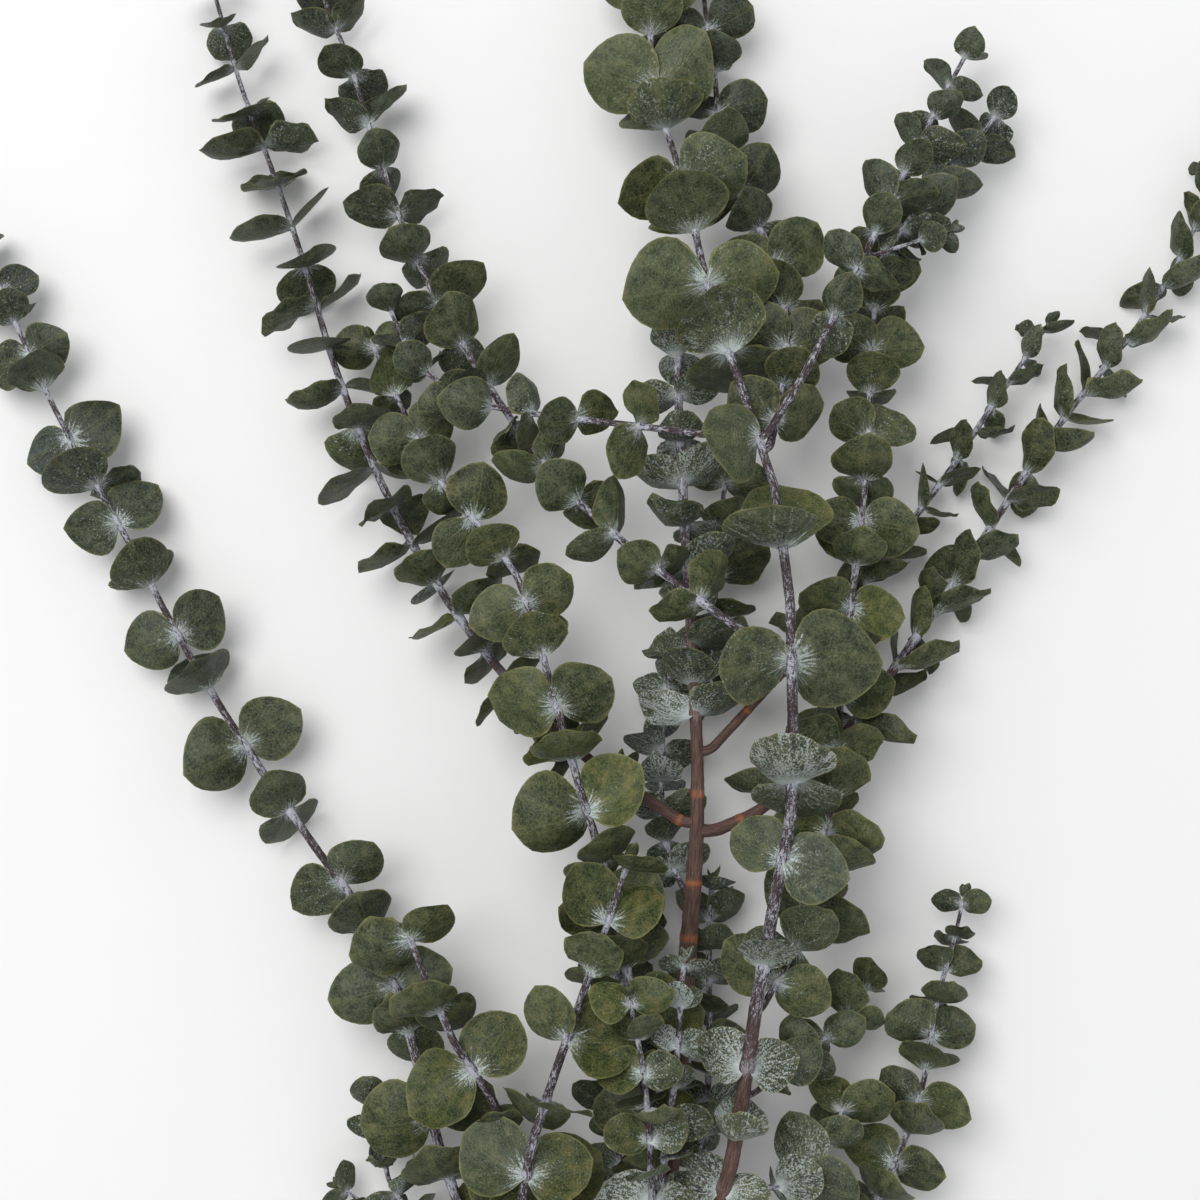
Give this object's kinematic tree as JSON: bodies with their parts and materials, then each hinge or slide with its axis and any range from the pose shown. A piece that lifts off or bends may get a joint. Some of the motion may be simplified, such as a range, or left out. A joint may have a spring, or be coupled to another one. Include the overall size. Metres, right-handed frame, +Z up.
{
  "type": "eucalyptus branch",
  "caption": "Cut eucalyptus branch lying flat: a woody stem that forks into a fan of slender shoots with opposite pairs of round, grey-green, wax-dusted leaves.",
  "frame": {"origin": "under the middle of the branch's outline, on the surface that it lies on", "axes": "+Z up from the surface; +Y along the branch from its cut end towards its tips; +X to the right, seen from above with the tips up"},
  "size_m": [0.5514, 0.6666, 0.11],
  "materials": {
    "leaf": "matte",
    "bark": "matte"
  },
  "bodies": {
    "root": {"main_stem": "bark", "front_leader": "leaf", "middle_left_shoot": "leaf", "far_left_shoot": "leaf", "left_fork": "leaf", "right_fork": "leaf", "right_back_fork": "leaf", "upright_right_shoot": "leaf", "high_right_shoot": "leaf", "high_right_twin": "leaf", "high_right_twig": "leaf", "high_left_shoot": "leaf", "crossing_left_shoot": "leaf", "back_leader": "leaf", "front_left_shoot": "leaf", "broad_left_shoot": "leaf", "left_twig": "leaf", "left_low_twig": "leaf", "inner_left_shoot": "leaf", "inner_front_shoot": "leaf", "inner_right_shoot": "leaf", "lower_right_twig": "leaf", "lower_right_shoot": "leaf", "lower_right_side_twig": "leaf", "centre_low_shoot": "leaf", "centre_thin_shoot": "leaf", "low_back_shoot": "leaf", "low_back_left_shoot": "leaf"}
  },
  "joints": []
}
